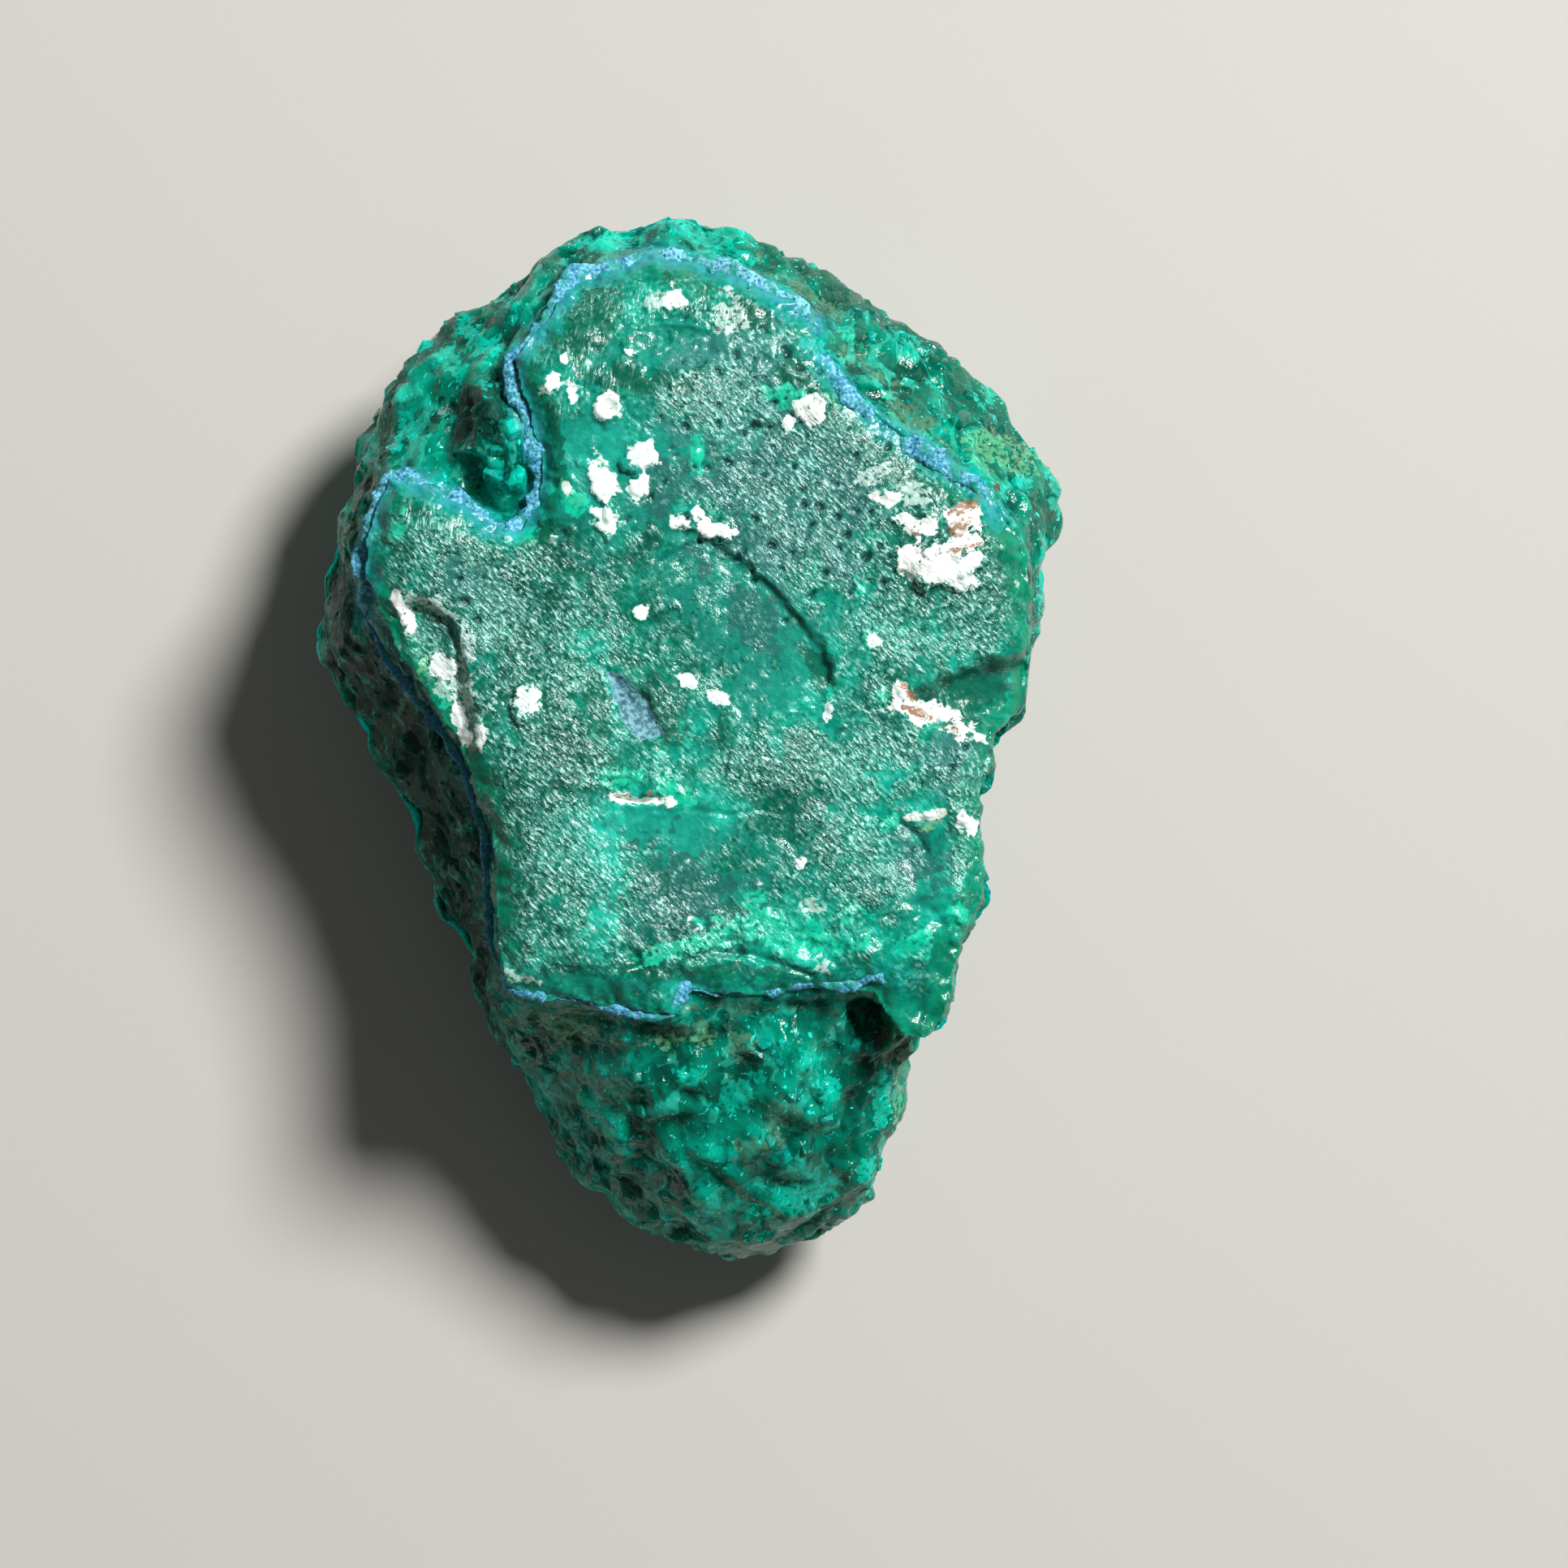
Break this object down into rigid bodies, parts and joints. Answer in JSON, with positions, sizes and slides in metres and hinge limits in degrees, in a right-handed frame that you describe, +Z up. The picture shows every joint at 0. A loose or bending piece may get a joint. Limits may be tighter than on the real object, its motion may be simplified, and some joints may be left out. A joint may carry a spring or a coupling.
{
  "type": "dioptase specimen",
  "caption": "Hand-sized lump of green dioptase crystals under one smooth glassy plateau, with a blue seam round its edge, lying on its broken flat back.",
  "frame": {"origin": "centre of the bounding box, at the flat broken underside that the stone rests on", "axes": "+Z up, the way the smooth plateau faces; +Y along the stone's longest side, towards its broad upper end"},
  "size_m": [0.0297, 0.0416, 0.0137],
  "materials": {
    "dioptase": "glossy, translucent green crystal with a finely rippled surface"
  },
  "bodies": {
    "root": {"dioptase_specimen": "dioptase"}
  },
  "joints": []
}
